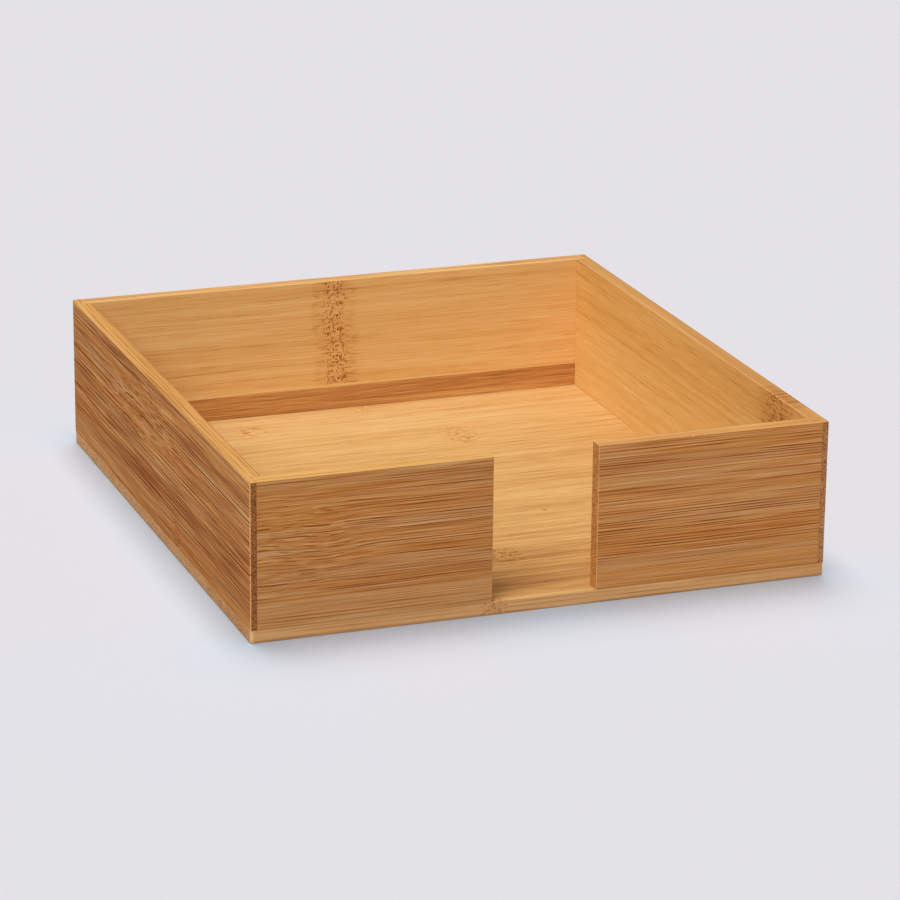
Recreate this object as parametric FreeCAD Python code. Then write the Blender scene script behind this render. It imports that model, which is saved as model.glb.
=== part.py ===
import FreeCAD, Part
import os

# An open tray that keeps a stack of folded paper napkins square.
#
# Six flat bamboo boards are glued together. The base lies under everything. Two sides stand on
# it and run its full depth. The back and the two halves of the front stand between the sides,
# and the halves leave a finger notch in the middle that goes down to the base. A rabbet inside
# each end of a side takes the end of a back or front board, so that only a thin lip of the
# side's end grain shows beside it.
#
# Millimetres. The origin is the middle of the footprint, on the surface that the tray stands
# on. +X is to the right, -Y is towards the notch and +Z is up.

# Driving dimensions.
tray_width = 185.0         # outside, along X
tray_depth = 200.0         # outside, along Y
base_thickness = 4.0
wall_height = 46.0         # from the top of the base to the rim
side_thickness = 5.0
panel_thickness = 5.0      # the back and both halves of the front
lip_thickness = 2.0        # what a rabbet leaves of a side beside a panel's end
notch_width = 33.5         # the finger gap between the halves of the front
glue_line = 0.1            # thickness of every glue joint
wall_corner_radius = 0.5   # the walls' four upright outside corners
base_corner_radius = 1.2   # the base's four upright corners
base_edge_radius = 0.3     # the edge round the underside
rim_radius = 0.25          # the top edges and the upright edges of the notch
side_rim_radius = 0.6      # the long top edge outside each side, where a hand rests

# Places that follow from them.
half_width = tray_width / 2
half_depth = tray_depth / 2
half_notch = notch_width / 2
rim_z = base_thickness + wall_height
wall_foot_z = base_thickness + glue_line
panel_end_x = half_width - lip_thickness - glue_line
side_inside_x = half_width - side_thickness
panel_inside_y = half_depth - panel_thickness
rabbet_length = panel_thickness + glue_line
rabbet_shoulder_y = half_depth - rabbet_length

overrun = 1.0              # how far a cutting block runs past what it cuts
edge_tolerance = 1e-4      # how far an edge may lie from the place it is looked for


def block(low, high):
    """A box between its lowest and highest corners."""
    corner = FreeCAD.Vector(*low)
    size = FreeCAD.Vector(*high) - corner
    return Part.makeBox(size.x, size.y, size.z, corner)


def mirrored(shape):
    """The same board for the other side of the tray."""
    return shape.mirror(FreeCAD.Vector(0, 0, 0), FreeCAD.Vector(1, 0, 0))


def is_upright(edge):
    box = edge.BoundBox
    return max(box.XLength, box.YLength) < edge_tolerance


def is_underneath(edge):
    return edge.BoundBox.ZMax < edge_tolerance


def is_on_rim(edge):
    return edge.BoundBox.ZMin > rim_z - edge_tolerance


def is_outside(edge):
    return edge.BoundBox.XMin > half_width - edge_tolerance


def is_notch_corner(edge):
    beside_notch = abs(abs(edge.BoundBox.XMin) - half_notch) < edge_tolerance
    return is_upright(edge) and beside_notch


def eased(shape, radius, wanted):
    """The shape with the wanted edges rounded."""
    return shape.makeFillet(radius, [edge for edge in shape.Edges if wanted(edge)])


def sanded_walls():
    """All the walls in one piece, with every edge that sandpaper reaches rounded."""
    form = block((-half_width, -half_depth, 0), (half_width, half_depth, rim_z))
    form = eased(form, wall_corner_radius, is_upright)
    well = block(
        (-side_inside_x, -panel_inside_y, base_thickness),
        (side_inside_x, panel_inside_y, rim_z + overrun),
    )
    notch = block(
        (-half_notch, -half_depth - overrun, base_thickness),
        (half_notch, -panel_inside_y + overrun, rim_z + overrun),
    )
    form = form.cut(well).cut(notch)
    return eased(form, rim_radius, lambda edge: is_on_rim(edge) or is_notch_corner(edge))


def base_panel():
    board = block((-half_width, -half_depth, 0), (half_width, half_depth, base_thickness))
    board = eased(board, base_corner_radius, is_upright)
    return eased(board, base_edge_radius, is_underneath)


def right_side_blank():
    """A full-depth board with its long outer top edge rounded and a rabbet inside each end."""
    board = block((side_inside_x, -half_depth, wall_foot_z), (half_width, half_depth, rim_z))
    board = eased(board, side_rim_radius, lambda edge: is_on_rim(edge) and is_outside(edge))
    for rabbet_low_y in (-half_depth - overrun, rabbet_shoulder_y):
        rabbet = block(
            (side_inside_x - overrun, rabbet_low_y, base_thickness),
            (half_width - lip_thickness, rabbet_low_y + rabbet_length + overrun, rim_z + overrun),
        )
        board = board.cut(rabbet)
    return board


def back_blank():
    return block((-panel_end_x, panel_inside_y, wall_foot_z), (panel_end_x, half_depth, rim_z))


def front_right_blank():
    return block((half_notch, -half_depth, wall_foot_z), (panel_end_x, -panel_inside_y, rim_z))


def main():
    os.makedirs("parts", exist_ok=True)
    blanks = {
        "left_side": mirrored(right_side_blank()),
        "right_side": right_side_blank(),
        "back_panel": back_blank(),
        "front_left_panel": mirrored(front_right_blank()),
        "front_right_panel": front_right_blank(),
    }
    walls = sanded_walls()
    boards = {name: blank.common(walls) for name, blank in blanks.items()}
    boards["base_panel"] = base_panel()
    for name, board in boards.items():
        board.Solids[0].exportStep("parts/" + name + ".step")


main()
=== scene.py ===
import math

import bpy
from mathutils import Matrix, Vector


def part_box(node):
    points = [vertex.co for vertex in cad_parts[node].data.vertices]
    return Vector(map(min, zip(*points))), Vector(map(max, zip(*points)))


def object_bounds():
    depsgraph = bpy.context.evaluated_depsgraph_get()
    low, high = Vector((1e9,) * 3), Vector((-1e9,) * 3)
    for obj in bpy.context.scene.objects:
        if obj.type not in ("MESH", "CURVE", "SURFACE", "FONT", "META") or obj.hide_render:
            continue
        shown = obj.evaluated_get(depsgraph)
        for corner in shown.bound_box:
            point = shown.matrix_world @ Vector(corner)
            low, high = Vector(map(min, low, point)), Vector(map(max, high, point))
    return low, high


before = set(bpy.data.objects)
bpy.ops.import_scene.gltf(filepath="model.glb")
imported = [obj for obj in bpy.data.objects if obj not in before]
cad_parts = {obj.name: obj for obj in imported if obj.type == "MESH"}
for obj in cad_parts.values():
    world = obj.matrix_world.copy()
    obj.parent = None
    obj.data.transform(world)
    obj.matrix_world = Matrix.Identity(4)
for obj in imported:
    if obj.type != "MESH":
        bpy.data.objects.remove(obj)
cad_low, cad_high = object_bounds()

# This dresses a napkin tray of six bamboo boards. Each board is a CAD solid, which keeps its
# shape and place and gets a node material. The material is worked out from how the bamboo of
# that board lies and from its marks, which BOARDS, near the end, tells board by board.

MM = 1000.0    # millimetres in a metre: the bamboo's patterns count in millimetres


# ---------------------------------------------------------------- a small language for node formulas

def srgb(red, green, blue):
    """A colour as it shows on a screen, 0 to 255, as the linear colour that a shader takes."""
    def linear(level):
        share = level / 255
        return share / 12.92 if share <= 0.04045 else ((share + 0.055) / 1.055) ** 2.4
    return (linear(red), linear(green), linear(blue), 1.0)


class Signal:
    """A number or vector that a node gives out. Python's + - * / on it add maths nodes."""

    def __init__(self, graph, socket):
        self.graph = graph
        self.socket = socket

    def __add__(self, other):
        return self.graph.maths("ADD", self, other)

    def __sub__(self, other):
        return self.graph.maths("SUBTRACT", self, other)

    def __rsub__(self, other):
        return self.graph.maths("SUBTRACT", other, self)

    def __mul__(self, other):
        return self.graph.maths("MULTIPLY", self, other)

    def __truediv__(self, other):
        return self.graph.maths("DIVIDE", self, other)

    __radd__ = __add__
    __rmul__ = __mul__


class Graph:
    """One material's nodes."""

    def __init__(self, name):
        self.material = bpy.data.materials.new(name)
        self.material.use_nodes = True
        self.tree = self.material.node_tree
        self.tree.nodes.clear()

    def node(self, kind, **settings):
        made = self.tree.nodes.new(kind)
        for name, value in settings.items():
            setattr(made, name, value)
        return made

    def feed(self, socket, value):
        """Gives a socket a signal, or a constant."""
        if isinstance(value, Signal):
            self.tree.links.new(value.socket, socket)
        else:
            socket.default_value = value

    def show(self, shader):
        """Makes a shader node the material's surface."""
        output = self.node("ShaderNodeOutputMaterial")
        self.tree.links.new(shader.outputs[0], output.inputs["Surface"])

    def maths(self, operation, *values):
        made = self.node("ShaderNodeMath", operation=operation)
        for socket, value in zip(made.inputs, values):
            self.feed(socket, value)
        return Signal(self, made.outputs[0])

    def size(self, value):
        """The value without its sign."""
        return self.maths("ABSOLUTE", value)

    def greatest(self, values):
        """The greatest of some values, none of them below 0. It is 0 where there are none."""
        amount = 0.0
        for value in values:
            amount = self.maths("MAXIMUM", value, amount)
        return amount

    def vector(self, x, y, z):
        made = self.node("ShaderNodeCombineXYZ")
        for socket, value in zip(made.inputs, (x, y, z)):
            self.feed(socket, value)
        return Signal(self, made.outputs[0])

    def split(self, vector):
        made = self.node("ShaderNodeSeparateXYZ")
        self.feed(made.inputs[0], vector)
        return [Signal(self, output) for output in made.outputs]

    def coordinates(self, kind):
        """The x, y and z of the point, where kind is "Object", or of its "Normal"."""
        made = self.node("ShaderNodeTexCoord")
        return self.split(Signal(self, made.outputs[kind]))

    def ramp(self, value, zero_at, one_at):
        """0 where the value is zero_at, 1 where it is one_at, and smooth between them."""
        made = self.node("ShaderNodeMapRange", interpolation_type="SMOOTHSTEP", clamp=True)
        self.feed(made.inputs["Value"], value)
        self.feed(made.inputs["From Min"], zero_at)
        self.feed(made.inputs["From Max"], one_at)
        return Signal(self, made.outputs["Result"])

    def noise(self, x, y, z, detail=1.0):
        """Smooth noise from 0 to 1, about one bump per unit, with finer bumps as detail goes up."""
        made = self.node("ShaderNodeTexNoise", noise_dimensions="3D")
        self.feed(made.inputs["Vector"], self.vector(x, y, z))
        made.inputs["Scale"].default_value = 1.0
        made.inputs["Detail"].default_value = detail
        made.inputs["Roughness"].default_value = 0.5
        return Signal(self, made.outputs["Fac"])

    def cells(self, x, y, z):
        """Distance to the nearest of a cloud of points, about one point per unit."""
        made = self.node("ShaderNodeTexVoronoi", voronoi_dimensions="3D", feature="F1")
        self.feed(made.inputs["Vector"], self.vector(x, y, z))
        made.inputs["Scale"].default_value = 1.0
        made.inputs["Randomness"].default_value = 1.0
        return Signal(self, made.outputs["Distance"])

    def chance(self, number, seed):
        """Two random numbers from 0 to 1 for each whole number."""
        made = self.node("ShaderNodeTexWhiteNoise", noise_dimensions="2D")
        self.feed(made.inputs["Vector"], self.vector(number, seed, 0.0))
        return self.split(Signal(self, made.outputs["Color"]))[:2]

    def mix(self, share, first, second):
        """first where share is 0, second where it is 1; both are colours."""
        made = self.node("ShaderNodeMix", data_type="RGBA", clamp_factor=True)
        # The inputs are told by their places, because several share the names A and B.
        for place, value in ((0, share), (6, first), (7, second)):
            self.feed(made.inputs[place], value)
        return Signal(self, made.outputs[2])

    def palette(self, tone, stops):
        """The colour that the stops, pairs of a tone and a colour in order, give for a tone."""
        made = self.node("ShaderNodeValToRGB")
        band = made.color_ramp.elements
        while len(band) < len(stops):
            band.new(0.5)
        for element, (at, colour) in zip(band, stops):
            element.position = at
            element.color = colour
        self.feed(made.inputs["Fac"], tone)
        return Signal(self, made.outputs["Color"])

    def cast(self, colour, shares):
        """The colour with its red, green and blue each times its share."""
        made = self.node("ShaderNodeVectorMath", operation="MULTIPLY")
        self.feed(made.inputs[0], colour)
        made.inputs[1].default_value = shares
        return Signal(self, made.outputs[0])

    def tint(self, colour, strength):
        """The colour times a strength."""
        made = self.node("ShaderNodeVectorMath", operation="SCALE")
        self.feed(made.inputs[0], colour)
        self.feed(made.inputs["Scale"], strength)
        return Signal(self, made.outputs[0])


# ---------------------------------------------------------------- camera, lamps and stage

CAMERA_PLACE = (-0.4078, -1.1254, 0.4166)
CAMERA_HEADING = 20.19       # degrees from +Y towards +X
CAMERA_PITCH = -18.38        # degrees above the horizon
CAMERA_ROLL = 0.585          # degrees
CAMERA_SENSOR = 36.0         # mm
CAMERA_LENS = 156.4          # mm
CAMERA_REACH = (0.05, 50.0)  # metres to the nearest and to the farthest that it sees

BACKDROP = srgb(229, 227, 232)
WORLD_LEVEL = 0.10           # of the even light from all round, on the lamps' scale

# Each lamp's name, level, spread, heading and height. A white face turned towards a lamp renders
# at its level. The rest is in degrees, as seen from the tray: a heading counts from +Y towards
# +X, and a height above 90 lies past the zenith.
FLOOR_LAMPS = (
    ("floor_strip_68", 0.2755, 31, 0, 68),
    ("floor_strip_83", 0.335, 31, 0, 83),
    ("floor_strip_98", 0.216, 31, 0, 98),
    ("floor_sky", 0.09, 170, 0, 90),
)
TRAY_LAMPS = (
    ("key", 0.80, 38, 230, 50),
    ("overhead", 0.25, 90, 0, 88),
    ("right_fill", 0.12, 60, 85, 40),
)

FLOOR_HALF = 6.0                     # metres from the tray's middle to the floor's edges
GLOW_BALANCE = (0.88, 1.05, 1.16)    # multiplies the floor's colour where the wood's glow is full
GLOW_REACH = 0.03                    # metres from the tray at which the glow is a quarter
GLOW_BEHIND = 0.5                    # the glow's share behind the tray and to its right
GLOW_TURN = 0.1                      # metres of x + y, on each side of 0, in which it falls to that


def turn(degrees, axis):
    return Matrix.Rotation(math.radians(degrees), 4, axis)


def add_camera():
    camera = bpy.data.objects.new("camera", bpy.data.cameras.new("camera"))
    camera.data.sensor_width = CAMERA_SENSOR
    camera.data.lens = CAMERA_LENS
    camera.data.clip_start, camera.data.clip_end = CAMERA_REACH
    aim = turn(-CAMERA_HEADING, "Z") @ turn(90 + CAMERA_PITCH, "X") @ turn(CAMERA_ROLL, "Z")
    camera.matrix_world = Matrix.Translation(CAMERA_PLACE) @ aim
    bpy.context.scene.collection.objects.link(camera)
    bpy.context.scene.camera = camera


def group_of(name, pieces):
    group = bpy.data.collections.new(name)
    for piece in pieces:
        group.objects.link(piece)
    return group


def add_sun(name, level, spread, heading, height, lit, shading):
    """A far, soft lamp that lights only the pieces in lit, with shadows of those in shading."""
    lamp = bpy.data.objects.new(name, bpy.data.lights.new(name, "SUN"))
    lamp.data.energy = level * math.pi
    lamp.data.angle = math.radians(spread)
    lamp.matrix_world = turn(-heading, "Z") @ turn(height - 90, "X")
    bpy.context.scene.collection.objects.link(lamp)
    lamp.light_linking.receiver_collection = group_of(name + "_lit", lit)
    lamp.light_linking.blocker_collection = group_of(name + "_shading", shading)


def add_world():
    """Even light from all round, and the backdrop's colour wherever the camera sees past the floor."""
    world = bpy.data.worlds.new("studio")
    world.use_nodes = True
    nodes, links = world.node_tree.nodes, world.node_tree.links
    nodes.clear()
    light = nodes.new("ShaderNodeBackground")
    light.inputs["Color"].default_value = (1.0, 1.0, 1.0, 1.0)
    light.inputs["Strength"].default_value = WORLD_LEVEL
    seen = nodes.new("ShaderNodeBackground")
    seen.inputs["Color"].default_value = BACKDROP
    path = nodes.new("ShaderNodeLightPath")
    choice = nodes.new("ShaderNodeMixShader")
    output = nodes.new("ShaderNodeOutputWorld")
    links.new(path.outputs["Is Camera Ray"], choice.inputs[0])
    links.new(light.outputs[0], choice.inputs[1])
    links.new(seen.outputs[0], choice.inputs[2])
    links.new(choice.outputs[0], output.inputs["Surface"])
    bpy.context.scene.world = world


def floor_paint():
    """The backdrop's colour with a painted cool tint round the tray, which cancels the warm light that
    the wood bounces onto the floor.

    The glow is weaker behind the tray and to its right, where less light falls on the wood.
    """
    g = Graph("floor")
    x, y = g.coordinates("Object")[:2]
    beyond_x = g.maths("MAXIMUM", g.size(x) - cad_high[0], 0.0)
    beyond_y = g.maths("MAXIMUM", g.size(y) - cad_high[1], 0.0)
    away = g.maths("SQRT", beyond_x * beyond_x + beyond_y * beyond_y)
    near = g.maths("DIVIDE", GLOW_REACH, away + GLOW_REACH)
    behind = g.ramp(x + y, zero_at=-GLOW_TURN, one_at=GLOW_TURN)
    glow = near * near * (1.0 - behind * (1.0 - GLOW_BEHIND))
    cooler = [balance * level for balance, level in zip(GLOW_BALANCE, BACKDROP)]
    shader = g.node("ShaderNodeBsdfPrincipled")
    g.feed(shader.inputs["Base Color"], g.mix(glow, BACKDROP, (*cooler, 1.0)))
    shader.inputs["Roughness"].default_value = 1.0
    shader.inputs["Specular IOR Level"].default_value = 0.0
    g.show(shader)
    return g.material


def flat_sheet(name, corners):
    """A sheet between four corners."""
    mesh = bpy.data.meshes.new(name)
    mesh.from_pydata(corners, [], [(0, 1, 2, 3)])
    sheet = bpy.data.objects.new(name, mesh)
    bpy.context.scene.collection.objects.link(sheet)
    return sheet


def add_floor():
    half = FLOOR_HALF
    floor = flat_sheet("floor", [(-half, -half, 0), (half, -half, 0), (half, half, 0), (-half, half, 0)])
    floor.data.materials.append(floor_paint())
    floor.visible_glossy = False    # so that it lays no veil on the faces seen at a slant
    return floor


def add_shade():
    """A card in the notch that no camera sees. It keeps the floor lamps' light from passing."""
    low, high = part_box("front_left_panel")
    left, top = high[0], high[2]
    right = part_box("front_right_panel")[0][0]
    y = (low[1] + high[1]) / 2
    shade = flat_sheet("shade", [(left, y, 0), (right, y, 0), (right, y, top), (left, y, top)])
    shade.visible_camera = False
    shade.visible_diffuse = False
    shade.visible_glossy = False
    shade.visible_transmission = False
    return shade


# ---------------------------------------------------------------- how bamboo lies in a board

AXES = {"x": 0, "y": 1, "z": 2}
SEAM_BLUR = 0.1           # mm on each side of a glue seam in which one strip turns into the next
SEAM_HALF = 0.25          # half the width of a seam's darker line, in mm
SQUARE_ON = (0.75, 0.9)   # how squarely a face looks along an axis as it comes to count as facing it
ROUNDED = (0.985, 0.90)   # how squarely an arris looks along its nearest axis, as it comes to count
RAGGEDNESS = 1.8          # how much the noise in a ragged outline changes beyond, in all


class Board:
    """How the bamboo of one board lies, and its marks. Lengths are in mm and tones from 0 to 1."""

    bands = 1.0           # how strong the broad bands of tone are
    skin = (0.35, 1.0)    # shares of the thickness between which the skin side's look comes in
    skin_tone = 0.0       # how much lighter the skin side is
    skin_strips = 1.0     # how much the strips' own tones show there
    cut_tone = 0.0        # how much lighter the long cut edges are
    cut_lines = 1.0       # how strong their fibre lines are
    end_tone = 0.0        # how much lighter the end grain is
    end_grain = 1.0       # how strong its dots are
    flames = ()           # ovals where the fibres dip in and out: along, half, across, half
    knots = ()            # ovals where they curl round a bud: the same four, and how pitted
    rings = ()            # speckled bands left by the cane's rings: along, half, lowest, highest
    spots = ()            # small spots of their own: along, across, radius, how much lighter

    def __init__(self, node, grain, across, outward, seed, seams, tones, lines, cast, **marks):
        self.node = node
        self.grain = AXES[grain]         # the fibres run along it
        self.across = AXES[across]       # the strips lie side by side along it
        self.facing = AXES[outward[1]]
        self.sign = 1 if outward[0] == "+" else -1    # outward is where the skin side faces
        self.seed = seed                 # where its patterns start; seed + 1.0 and so on start others
        low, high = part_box(node)
        self.pith = (low[self.facing] if self.sign > 0 else high[self.facing]) * MM
        self.thickness = (high[self.facing] - low[self.facing]) * MM
        self.seams = seams               # where the glue seams between strips lie
        self.tones = tones               # how much lighter each strip is
        self.lines = lines               # how strong each strip's fibre lines are
        self.cast = cast                 # what multiplies the pith side's red, green and blue
        self.skin_cast = cast            # and the skin side's, the cut edges' and the end grain's
        self.cut_cast = cast
        self.end_cast = cast
        for name, value in marks.items():
            setattr(self, name, value)


class Lay:
    """The signals that say where a point of a board lies in its bamboo. Lengths are in mm."""

    def __init__(self, g, board):
        self.g = g
        here = [place * MM for place in g.coordinates("Object")]
        facing = [g.size(share) for share in g.coordinates("Normal")]
        self.along = here[board.grain]
        self.across = here[board.across]
        self.depth = (here[board.facing] - board.pith) * board.sign
        self.skin = g.ramp(self.depth / board.thickness, *board.skin)   # 0 pith look, 1 skin look
        self.end = g.ramp(facing[board.grain], *SQUARE_ON)
        self.cut = g.ramp(facing[board.across], *SQUARE_ON)
        self.arris = g.ramp(g.greatest(facing), *ROUNDED)
        # One step at each seam numbers the strips and gives each its tone and its lines.
        self.number = 0.0
        self.tone = board.tones[0]
        self.lines = board.lines[0]
        self.at_seam = 0.0
        for place, seam in enumerate(board.seams):
            above = g.ramp(self.across, zero_at=seam - SEAM_BLUR, one_at=seam + SEAM_BLUR)
            line = g.ramp(g.size(self.across - seam), zero_at=SEAM_HALF, one_at=0.0)
            self.number = g.maths("GREATER_THAN", self.across, seam) + self.number
            self.tone = above * (board.tones[place + 1] - board.tones[place]) + self.tone
            self.lines = above * (board.lines[place + 1] - board.lines[place]) + self.lines
            self.at_seam = line + self.at_seam

    def patches(self, along, across, deep=0.0, seed=0.0, detail=1.0):
        """Noise from 0 to 1 with that many bumps per mm along, across and into the board."""
        depth = self.depth * deep + seed if deep else seed
        return self.g.noise(self.along * along, self.across * across, depth, detail)

    def beyond(self, along, half_along, across, half_across):
        """How far the point lies from an oval's middle: 0 there and 1 on its outline."""
        x = (self.along - along) / half_along
        y = (self.across - across) / half_across
        return x * x + y * y

    def oval(self, *shape):
        """1 in the middle of an oval on the board, falling smoothly to 0 at its outline."""
        return self.g.ramp(self.beyond(*shape), zero_at=1.0, one_at=0.1)

    def ragged_oval(self, *shape):
        """The same with a ragged outline."""
        ragged = (self.patches(along=0.22, across=0.35, deep=0.35, detail=2.0) - 0.5) * RAGGEDNESS
        return self.g.ramp(self.beyond(*shape) + ragged, zero_at=1.1, one_at=-0.3)


# ---------------------------------------------------------------- the fibres' patterns

CANE_LENGTH = 700.0       # mm of cane, and
CANE_WIDTH = 90.0         # mm of its width, from which each strip has its own stretch
WANDER = 0.8              # mm from side to side that the fibres wander across the board,
RISE = 1.4                # and mm that they rise and sink in it
BENDS_ALONG = 0.010       # how often they do either, per mm along them,
WANDERS_ACROSS = 0.05     # and how often, per mm across them, the wandering
RISES_ACROSS = 0.25       # and the rising change
FLAME_WANDER = 1.3        # mm that they wander and rise more in a flame
FLAME_RISE = 3.0
KNOT_WANDER = 7.0         # and in a knot
KNOT_RISE = 4.0
KNOT_SPREAD = 0.35        # how far they spread from a knot's middle line, as a share
KNOT_MEAN = 0.46          # blotches above this darken a knot, and those below lighten it
PITS_ALONG = 1.1          # a knot's pits per mm along the board,
PITS_ACROSS = 0.9         # and across it and into it
BUNDLES_ALONG = 0.020     # the dark bundles' ends per mm along the fibres,
BUNDLES_ACROSS = 1.35     # and the bundles per mm across them

STRANDS_ACROSS = 1.15     # dark strands per mm across the board,
STRANDS_DEEP = 0.7        # and per mm into it
STRAND_STRAY = 1.8        # how far they stray from side to side in all, in strands' widths
STRAND_HALF = 0.26        # half the width of a strand's dark line, as a share of the strand's width
STRAND_CORE = 0.04        # and of its darkest part
PALE_MIDDLE = 0.36        # how far from the strand's middle the pale line beside it lies
PALE_HALF = 0.14          # and half that line's width
PALE_SHARE = 0.2          # how pale that line is, as a share of how dark the strand is
WEAKEST_STRAND = 0.3      # how strong the weakest strand is, where the strongest is 1
FLAME_DASHES = 0.75       # how strong the dashes are that the strands make in a flame
STRAND_FADES = 0.030      # how often a strand fades, per mm
DASH_FADES = 0.18         # and a dash
STRAND_APART = 7.3        # how far apart in the noise neighbouring strands
DASH_APART = 5.1          # and dashes lie, so that each fades on its own


class Fibres:
    """The pattern that the fibres make at a point of a board.

    Its signals run from 0 to 1, but broad, middle, threads and fine run from -0.5 to 0.5.
    """

    def __init__(self, g, board, lay):
        self.g = g
        self.board = board
        self.lay = lay
        self.flame = g.greatest([lay.oval(*flame) for flame in board.flames])
        self.mark_knots()
        self.follow_cane()
        self.broad = self.streaks(along=0.008, across=0.24)
        self.middle = self.streaks(along=0.012, across=0.75)
        self.threads = self.streaks(along=0.035, across=2.2)
        self.fine = self.streaks(along=0.10, across=3.6)
        drab = self.streaks(along=0.008, across=0.30, apart=40.0)
        self.drab = g.ramp(drab, zero_at=-0.15, one_at=0.15)
        self.groups = g.ramp(self.streaks(along=0.016, across=0.9), zero_at=0.02, one_at=0.16)
        self.flecks = g.ramp(self.streaks(along=0.05, across=1.7), zero_at=0.02, one_at=0.25)
        cell = g.cells(self.u * BUNDLES_ALONG, self.v * BUNDLES_ACROSS, self.w * BUNDLES_ACROSS)
        self.bundles = g.ramp(cell, zero_at=0.32, one_at=0.18)
        self.strands = self.strand_lines()

    def mark_knots(self):
        """Where the knots are, with their pits and their blotches."""
        g, board, lay = self.g, self.board, self.lay
        self.areas = []
        pitted_areas = []
        for *shape, pitted in board.knots:
            area = lay.ragged_oval(*shape)
            self.areas.append(area)
            pitted_areas.append(area * pitted)
        self.knot = g.greatest(self.areas)
        depth = lay.depth * PITS_ACROSS + board.seed
        cell = g.cells(lay.along * PITS_ALONG, lay.across * PITS_ACROSS, depth)
        self.pits = g.ramp(cell, zero_at=0.5, one_at=0.15) * g.greatest(pitted_areas)
        blotches = lay.patches(along=0.4, across=0.6, deep=0.6, seed=board.seed, detail=2.0)
        self.blotches = (blotches - KNOT_MEAN) * self.knot
        self.stain = g.ramp(blotches, zero_at=0.42, one_at=0.62) * self.knot

    def follow_cane(self):
        """The patterns' own coordinates: u along the fibres, v across the board and w into it.

        Each strip has its own stretch of cane, the fibres wander a little across the board, and
        they slowly come up to its face and leave it. In flames and knots they do both more.
        """
        g, board, lay = self.g, self.board, self.lay
        shade, slide = g.chance(lay.number, board.seed)
        u = lay.along + slide * CANE_LENGTH
        v = lay.across + shade * CANE_WIDTH
        v = v + (g.noise(u * BENDS_ALONG, v * WANDERS_ACROSS, board.seed) - 0.5) * WANDER
        rise = g.noise(u * BENDS_ALONG, v * RISES_ACROSS, board.seed + 7.0) - 0.5
        w = lay.depth + rise * RISE
        if board.flames:
            dip = (lay.patches(along=0.05, across=0.14, seed=board.seed + 3.0) - 0.5) * self.flame
            v = v + dip * FLAME_WANDER
            w = w + dip * FLAME_RISE
        curl = lay.patches(along=0.40, across=0.55, deep=0.55, seed=board.seed, detail=2.0) - 0.5
        for area, (_, _, middle, _, _) in zip(self.areas, board.knots):
            v = v + (middle - lay.across) * area * KNOT_SPREAD + curl * area * KNOT_WANDER
            w = w + curl * area * KNOT_RISE
        self.u, self.v, self.w = u, v, w

    def streaks(self, along, across, apart=0.0):
        """Noise from -0.5 to 0.5 with that many bumps per mm along the fibres and across them.

        Lying apart keeps a pattern from following another of about its size.
        """
        depth = self.w * across + apart
        return self.g.noise(self.u * along, self.v * across, depth) - 0.5

    def strand_lines(self):
        """Dark lines side by side. Each has its own darkness, and fades in and out on its own."""
        g, board, lay = self.g, self.board, self.lay
        stray = self.streaks(along=0.005, across=0.45) * STRAND_STRAY
        place = self.v * STRANDS_ACROSS + self.w * STRANDS_DEEP + stray
        number = g.maths("FLOOR", place)
        aside = g.size(place - number - 0.5)
        fades = g.noise(self.u * STRAND_FADES, number * STRAND_APART, board.seed)
        dashes = g.noise(lay.along * DASH_FADES, number * DASH_APART, board.seed, detail=0.0)
        strength = g.ramp(fades, zero_at=0.32, one_at=0.62) * (1.0 - self.flame)
        strength = strength + g.ramp(dashes, zero_at=0.40, one_at=0.62) * self.flame * FLAME_DASHES
        own = g.chance(number, board.seed + 1.0)[0]
        strength = strength * (own * (1.0 - WEAKEST_STRAND) + WEAKEST_STRAND)
        dark = g.ramp(aside, zero_at=STRAND_HALF, one_at=STRAND_CORE)
        pale = g.ramp(g.size(aside - PALE_MIDDLE), zero_at=PALE_HALF, one_at=0.0)
        return (dark - pale * PALE_SHARE) * strength

    def blend(self, **weights):
        """The sum of the signals named, each times its weight."""
        total = 0.0
        for name, weight in weights.items():
            total = getattr(self, name) * weight + total
        return total


# ---------------------------------------------------------------- marks and tones

RING_END = 0.3            # mm in which a ring fades at each end
RING_WANDER = 0.5         # how far it wanders from side to side in all, in half widths
RING_BENDS = 0.12         # and how often, per mm
SPECKS_ALONG = 1.45       # a ring's specks per mm along the fibres,
SPECKS_ACROSS = 0.95      # and across them
SPECKS_SLANT = 0.5        # how they slant away from its middle
SPECK_SMALLEST = 0.22     # the size of the smallest specks, as a share of their spacing,
SPECK_RANGE = 0.5         # and how much larger the largest are
SPECK_SHADE = 0.95        # how much darker the specks,
SMEAR_SHADE = 0.26        # the smears
BAND_SHADE = 0.05         # and the whole band of a ring are
SPECK_SPAN = (1.05, 0.15)  # in a speck's own size, how far from its middle it ends and is full
SPECK_REACH = (1.0, 0.3)  # in a ring's half widths, the same from the ring's middle for the specks,
SMEAR_REACH = (2.2, 0.6)  # the smears
BAND_REACH = (1.7, 1.3)   # and the whole band
SPOT_LENGTH = 1.6         # the length of a small spot along the grain, where its width is 1

PITH_LEVEL = 0.62         # the tone of each kind of face before its pattern and its marks
SKIN_LEVEL = 0.69
CUT_LEVEL = 0.57
END_LEVEL = 0.62
END_STRIPS = 0.25         # how much the strips' own tones show in the end grain
END_DOTS = 1.8            # cut bundles per mm of end grain,
END_DOT_SHADE = 0.42      # and how much darker they are
END_SPECKLE = 2.6         # the finer speckle's bumps per mm,
END_SPECKLE_DEPTH = 0.9   # and how much they vary in tone


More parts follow.
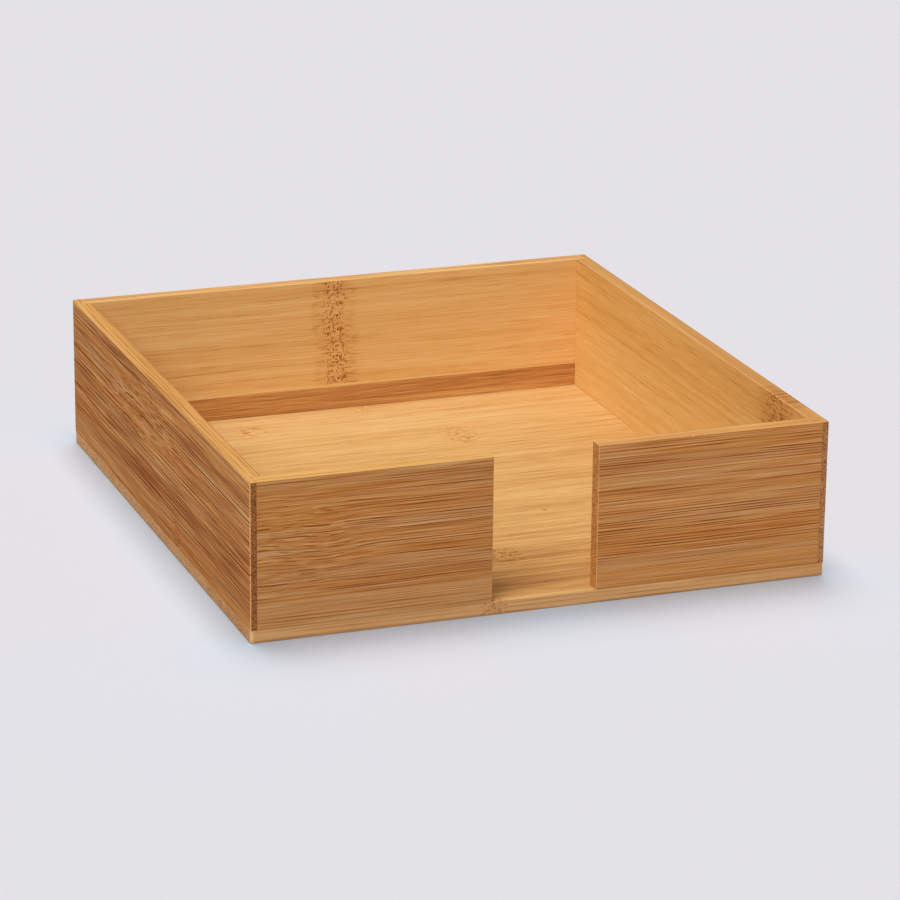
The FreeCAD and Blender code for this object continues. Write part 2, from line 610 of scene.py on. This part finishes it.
def ring_mark(g, board, lay, along, half, lowest, highest):
    """How much darker one ring of the cane makes a point: specks, and smears further out."""
    wander = (g.noise(board.seed, lay.across * RING_BENDS, 0.0) - 0.5) * half * RING_WANDER
    aside = g.size(lay.along - along + wander)
    reach = (highest - lowest) / 2
    outside = g.size(lay.across - (lowest + highest) / 2)
    inside = g.ramp(outside, zero_at=reach + RING_END, one_at=reach)
    size = lay.patches(along=0.45, across=0.35, seed=board.seed + 1.0) * SPECK_RANGE + SPECK_SMALLEST
    slant = lay.across * SPECKS_ACROSS + aside * SPECKS_SLANT
    cell = g.cells(lay.along * SPECKS_ALONG, slant, board.seed)
    blurs = lay.patches(along=0.28, across=1.0, seed=board.seed + 2.0, detail=2.0)
    specks = g.ramp(cell / size, *SPECK_SPAN) * g.ramp(aside / half, *SPECK_REACH)
    smears = g.ramp(blurs, zero_at=0.48, one_at=0.70) * g.ramp(aside / half, *SMEAR_REACH)
    band = g.ramp(aside / half, *BAND_REACH)
    return (specks * SPECK_SHADE + smears * SMEAR_SHADE + band * BAND_SHADE) * inside


def ring_marks(g, board, lay):
    """How much darker all the rings make a point."""
    return g.greatest([ring_mark(g, board, lay, *ring) for ring in board.rings])


def spot_marks(board, lay):
    """How much lighter the small spots make a point. They are drawn out along the grain."""
    tone = 0.0
    for along, across, radius, lighter in board.spots:
        tone = lay.oval(along, radius * SPOT_LENGTH, across, radius) * lighter + tone
    return tone


def pith_tone(board, lay, fibres, rings):
    """The pith side: pale, with short soft flecks."""
    bands = fibres.blend(broad=0.36) * board.bands
    lines = fibres.blend(middle=0.26, fine=0.36, flecks=-0.12, strands=-0.16) * lay.lines
    marks = rings + fibres.blend(blotches=1.3, pits=0.35)
    return PITH_LEVEL + bands + lines + lay.tone - marks


def skin_tone(board, lay, fibres):
    """The skin side: crowded dark fibre lines on tan."""
    bands = fibres.blend(broad=0.28) * board.bands
    lines = fibres.blend(middle=0.08, threads=-0.66, bundles=-0.12, strands=-0.56) * lay.lines
    strips = lay.tone * board.skin_strips
    return SKIN_LEVEL + board.skin_tone + bands + lines + strips - fibres.blend(pits=0.3)


def cut_tone(board, fibres, rings):
    """The long cut edges: fine straight lines, the layers of the cane side by side."""
    bands = fibres.blend(broad=0.4)
    lines = fibres.blend(middle=0.4, threads=-0.8, strands=-0.65) * board.cut_lines
    marks = rings + fibres.blend(knot=0.08, pits=0.4)
    return CUT_LEVEL + board.cut_tone + bands + lines - marks


def end_tone(g, board, lay, fibres):
    """The end grain, where the cut bundles are dots."""
    cell = g.cells(lay.across * END_DOTS, lay.depth * END_DOTS, board.seed)
    dots = g.ramp(cell, zero_at=0.5, one_at=0.2) * END_DOT_SHADE
    speckle = g.noise(lay.across * END_SPECKLE, lay.depth * END_SPECKLE, lay.along + board.seed)
    grain = ((speckle - 0.5) * END_SPECKLE_DEPTH - dots) * board.end_grain
    return END_LEVEL + board.end_tone + fibres.blend(broad=0.2) + lay.tone * END_STRIPS + grain


# ---------------------------------------------------------------- colours and the material

# A colour for each tone, from dark at 0 to light at 1, on the four kinds of face.
PITH_TONES = (
    (0.0, srgb(148, 86, 44)),
    (0.3, srgb(193, 131, 72)),
    (0.55, srgb(224, 168, 100)),
    (1.0, srgb(243, 206, 149)),
)
SKIN_TONES = (
    (0.0, srgb(114, 56, 18)),
    (0.25, srgb(142, 76, 27)),
    (0.5, srgb(183, 114, 52)),
    (0.75, srgb(203, 145, 80)),
    (1.0, srgb(226, 178, 116)),
)
CUT_TONES = (
    (0.0, srgb(168, 92, 32)),
    (0.5, srgb(221, 162, 94)),
    (1.0, srgb(246, 200, 134)),
)
END_TONES = (
    (0.0, srgb(74, 36, 14)),
    (0.5, srgb(152, 90, 42)),
    (0.75, srgb(196, 128, 66)),
    (1.0, srgb(216, 164, 112)),
)
WORN_AND_HIGHLIGHT_COLOUR = srgb(238, 186, 120)[:3]    # where an arris is rubbed, and a painted highlight along it
WORN_AND_HIGHLIGHT_STRENGTH = 0.6       # how far a rubbed and highlit arris takes that colour

# What multiplies red, green and blue.
WARM = (1.025, 0.97, 0.86)    # warmer stretches of the skin side
DRAB = (0.985, 1.02, 1.16)    # its duller stretches
AMBER = (1.0, 0.86, 0.68)     # the stain in a knot
STAIN_STRENGTH = 0.8      # how far a stain takes that cast
SEAM_SHADE = 0.06         # how much darker a glue seam is

BUMP_DEPTH = 0.00004      # metres
ROUGHNESS = 0.46          # of a smooth face, before its pattern
END_ROUGHNESS = 0.2       # how much rougher the end grain is
SPECULAR = 0.12           # low, because the wood is matt


def bamboo_colour(g, board, lay, fibres):
    """The colour of a point on any face of a board."""
    spots = spot_marks(board, lay)
    rings = ring_marks(g, board, lay)
    pith = g.palette(pith_tone(board, lay, fibres, rings) + spots, PITH_TONES)
    skin = g.palette(skin_tone(board, lay, fibres) + spots, SKIN_TONES)
    skin = g.mix(fibres.drab, g.cast(skin, WARM), g.cast(skin, DRAB))
    cut = g.palette(cut_tone(board, fibres, rings), CUT_TONES)
    end = g.palette(end_tone(g, board, lay, fibres), END_TONES)
    colour = g.mix(lay.skin, g.cast(pith, board.cast), g.cast(skin, board.skin_cast))
    colour = g.mix(fibres.stain * STAIN_STRENGTH, colour, g.cast(colour, AMBER))
    colour = g.mix(lay.cut, colour, g.cast(cut, board.cut_cast))
    colour = g.mix(lay.end, colour, g.cast(end, board.end_cast))
    # Every rounded arris gets lighter: partly rubbed wood, partly a painted highlight.
    worn_and_highlight = lay.arris * g.ramp(fibres.threads, zero_at=-0.2, one_at=0.05) * WORN_AND_HIGHLIGHT_STRENGTH
    colour = g.mix(worn_and_highlight, colour, g.cast(WORN_AND_HIGHLIGHT_COLOUR, board.cut_cast))
    return g.tint(colour, 1.0 - lay.at_seam * SEAM_SHADE)


def bamboo(board):
    """The material of one board."""
    g = Graph("bamboo_" + board.node)
    lay = Lay(g, board)
    fibres = Fibres(g, board, lay)
    bump = g.node("ShaderNodeBump")
    bump.inputs["Strength"].default_value = 1.0
    bump.inputs["Distance"].default_value = BUMP_DEPTH
    g.feed(bump.inputs["Height"], fibres.blend(threads=0.6, groups=-0.5, bundles=-0.4))
    shader = g.node("ShaderNodeBsdfPrincipled")
    shader.inputs["Specular IOR Level"].default_value = SPECULAR
    g.feed(shader.inputs["Base Color"], bamboo_colour(g, board, lay, fibres))
    rough = ROUGHNESS + fibres.blend(groups=0.1, middle=0.2) + lay.end * END_ROUGHNESS
    g.feed(shader.inputs["Roughness"], rough)
    g.feed(shader.inputs["Normal"], Signal(g, bump.outputs["Normal"]))
    g.show(shader)
    return g.material


# ---------------------------------------------------------------- the six boards

# Places along and across a board are the tray's own x, y and z, in mm.

WALL_SEAMS = (12.0, 31.0)    # mm above the floor
BASE_STRIP = 20.0         # the width of the base's strips, in mm
BASE_STRIPS = 11          # the first and the last are cut narrower
FIRST_BASE_SEAM = -95.8
BASE_SEAMS = tuple(FIRST_BASE_SEAM + BASE_STRIP * count for count in range(BASE_STRIPS - 1))

BOARDS = (
    Board(
        "base_panel", grain="x", across="y", outward="-z", seed=3.0, seams=BASE_SEAMS,
        tones=(-0.08, -0.22, -0.2, -0.08, -0.08, -0.05, -0.07, -0.05, -0.02, 0.05, 0.05),
        lines=(1.4,) * BASE_STRIPS,
        cast=(0.97, 1.05, 1.10), cut_cast=(0.99, 1.03, 1.30), end_cast=(1.0, 1.18, 1.55),
        skin=(0.97, 1.0), cut_tone=-0.065, cut_lines=0.5, end_tone=0.22, end_grain=0.65,
        spots=((28.9, -26.4, 0.6, -0.5), (17.8, -93.9, 0.4, -0.5)),
        knots=(
            (30, 8, 55, 11, 0.3),
            (-37, 7, 79, 7, 0.2),
            (7, 6, 91, 5, 0.3),
            (1, 7, -61, 9, 1.0),
            (-16, 4.5, -100, 6, 1.0),
        ),
    ),
    Board(
        "left_side", grain="y", across="z", outward="-x", seed=5.0, seams=WALL_SEAMS,
        tones=(0.02, -0.05, 0.03), lines=(1.3, 1.8, 1.8),
        cast=(0.97, 0.95, 0.97), cut_cast=(0.98, 0.94, 0.80), end_cast=(0.88, 0.95, 1.16),
        bands=1.7, skin_tone=-0.05, cut_tone=-0.01, end_tone=-0.06,
        flames=((15, 50, 36, 12),),
        knots=((-22, 5, 8, 5, 1.0),),
    ),
    Board(
        "right_side", grain="y", across="z", outward="+x", seed=11.0, seams=WALL_SEAMS,
        tones=(0.11, 0.05, -0.02), lines=(0.8, 1.0, 1.0),
        cast=(1.03, 1.07, 0.93), skin_cast=(0.99, 0.96, 1.02),
        cut_cast=(0.97, 0.97, 0.99), end_cast=(0.98, 1.16, 1.75),
        cut_tone=-0.08, cut_lines=0.3, end_tone=0.05,
        rings=((-73, 8, 34, 51),),
    ),
    Board(
        "back_panel", grain="x", across="z", outward="+y", seed=17.0, seams=WALL_SEAMS,
        tones=(-0.31, 0.01, 0.02), lines=(1.2, 0.8, 0.8),
        cast=(1.09, 1.20, 1.28), skin_cast=(1.0, 0.97, 1.04),
        cut_cast=(1.09, 1.15, 1.22), end_cast=(1.08, 1.19, 1.20),
        skin_strips=0.4,
        rings=((-2, 5, 31, 49.6), (-1, 5, 13, 31)),
    ),
    Board(
        "front_left_panel", grain="x", across="z", outward="-y", seed=23.0, seams=WALL_SEAMS,
        tones=(0.08, 0.0, 0.0), lines=(0.7, 1.25, 1.25),
        cast=(0.92, 0.90, 0.96), cut_cast=(0.97, 0.93, 0.77), end_cast=(0.99, 0.96, 0.77),
        bands=1.1, cut_tone=0.14, end_tone=0.2,
        flames=((-78, 32, 30, 20),),
    ),
    Board(
        "front_right_panel", grain="x", across="z", outward="-y", seed=29.0, seams=WALL_SEAMS,
        tones=(0.04, 0.0, 0.0), lines=(0.7, 1.1, 1.1),
        cast=(0.98, 0.97, 1.06), cut_cast=(0.97, 0.92, 0.84), end_cast=(0.99, 0.95, 0.76),
        bands=0.9, end_tone=0.2,
        spots=((43.8, 49.85, 0.25, 0.4), (47.2, 49.8, 0.3, 0.45), (50.9, 49.85, 0.2, 0.35)),
    ),
)


def dress_boards():
    for board in BOARDS:
        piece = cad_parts[board.node]
        piece.data.materials.clear()
        piece.data.materials.append(bamboo(board))


bpy.context.scene.view_settings.view_transform = "Standard"
add_camera()
floor = add_floor()
tray = list(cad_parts.values())
shade = add_shade()
add_world()
for lamp in FLOOR_LAMPS:
    add_sun(*lamp, lit=[floor], shading=tray + [shade])
for lamp in TRAY_LAMPS:
    add_sun(*lamp, lit=tray, shading=tray)
dress_boards()
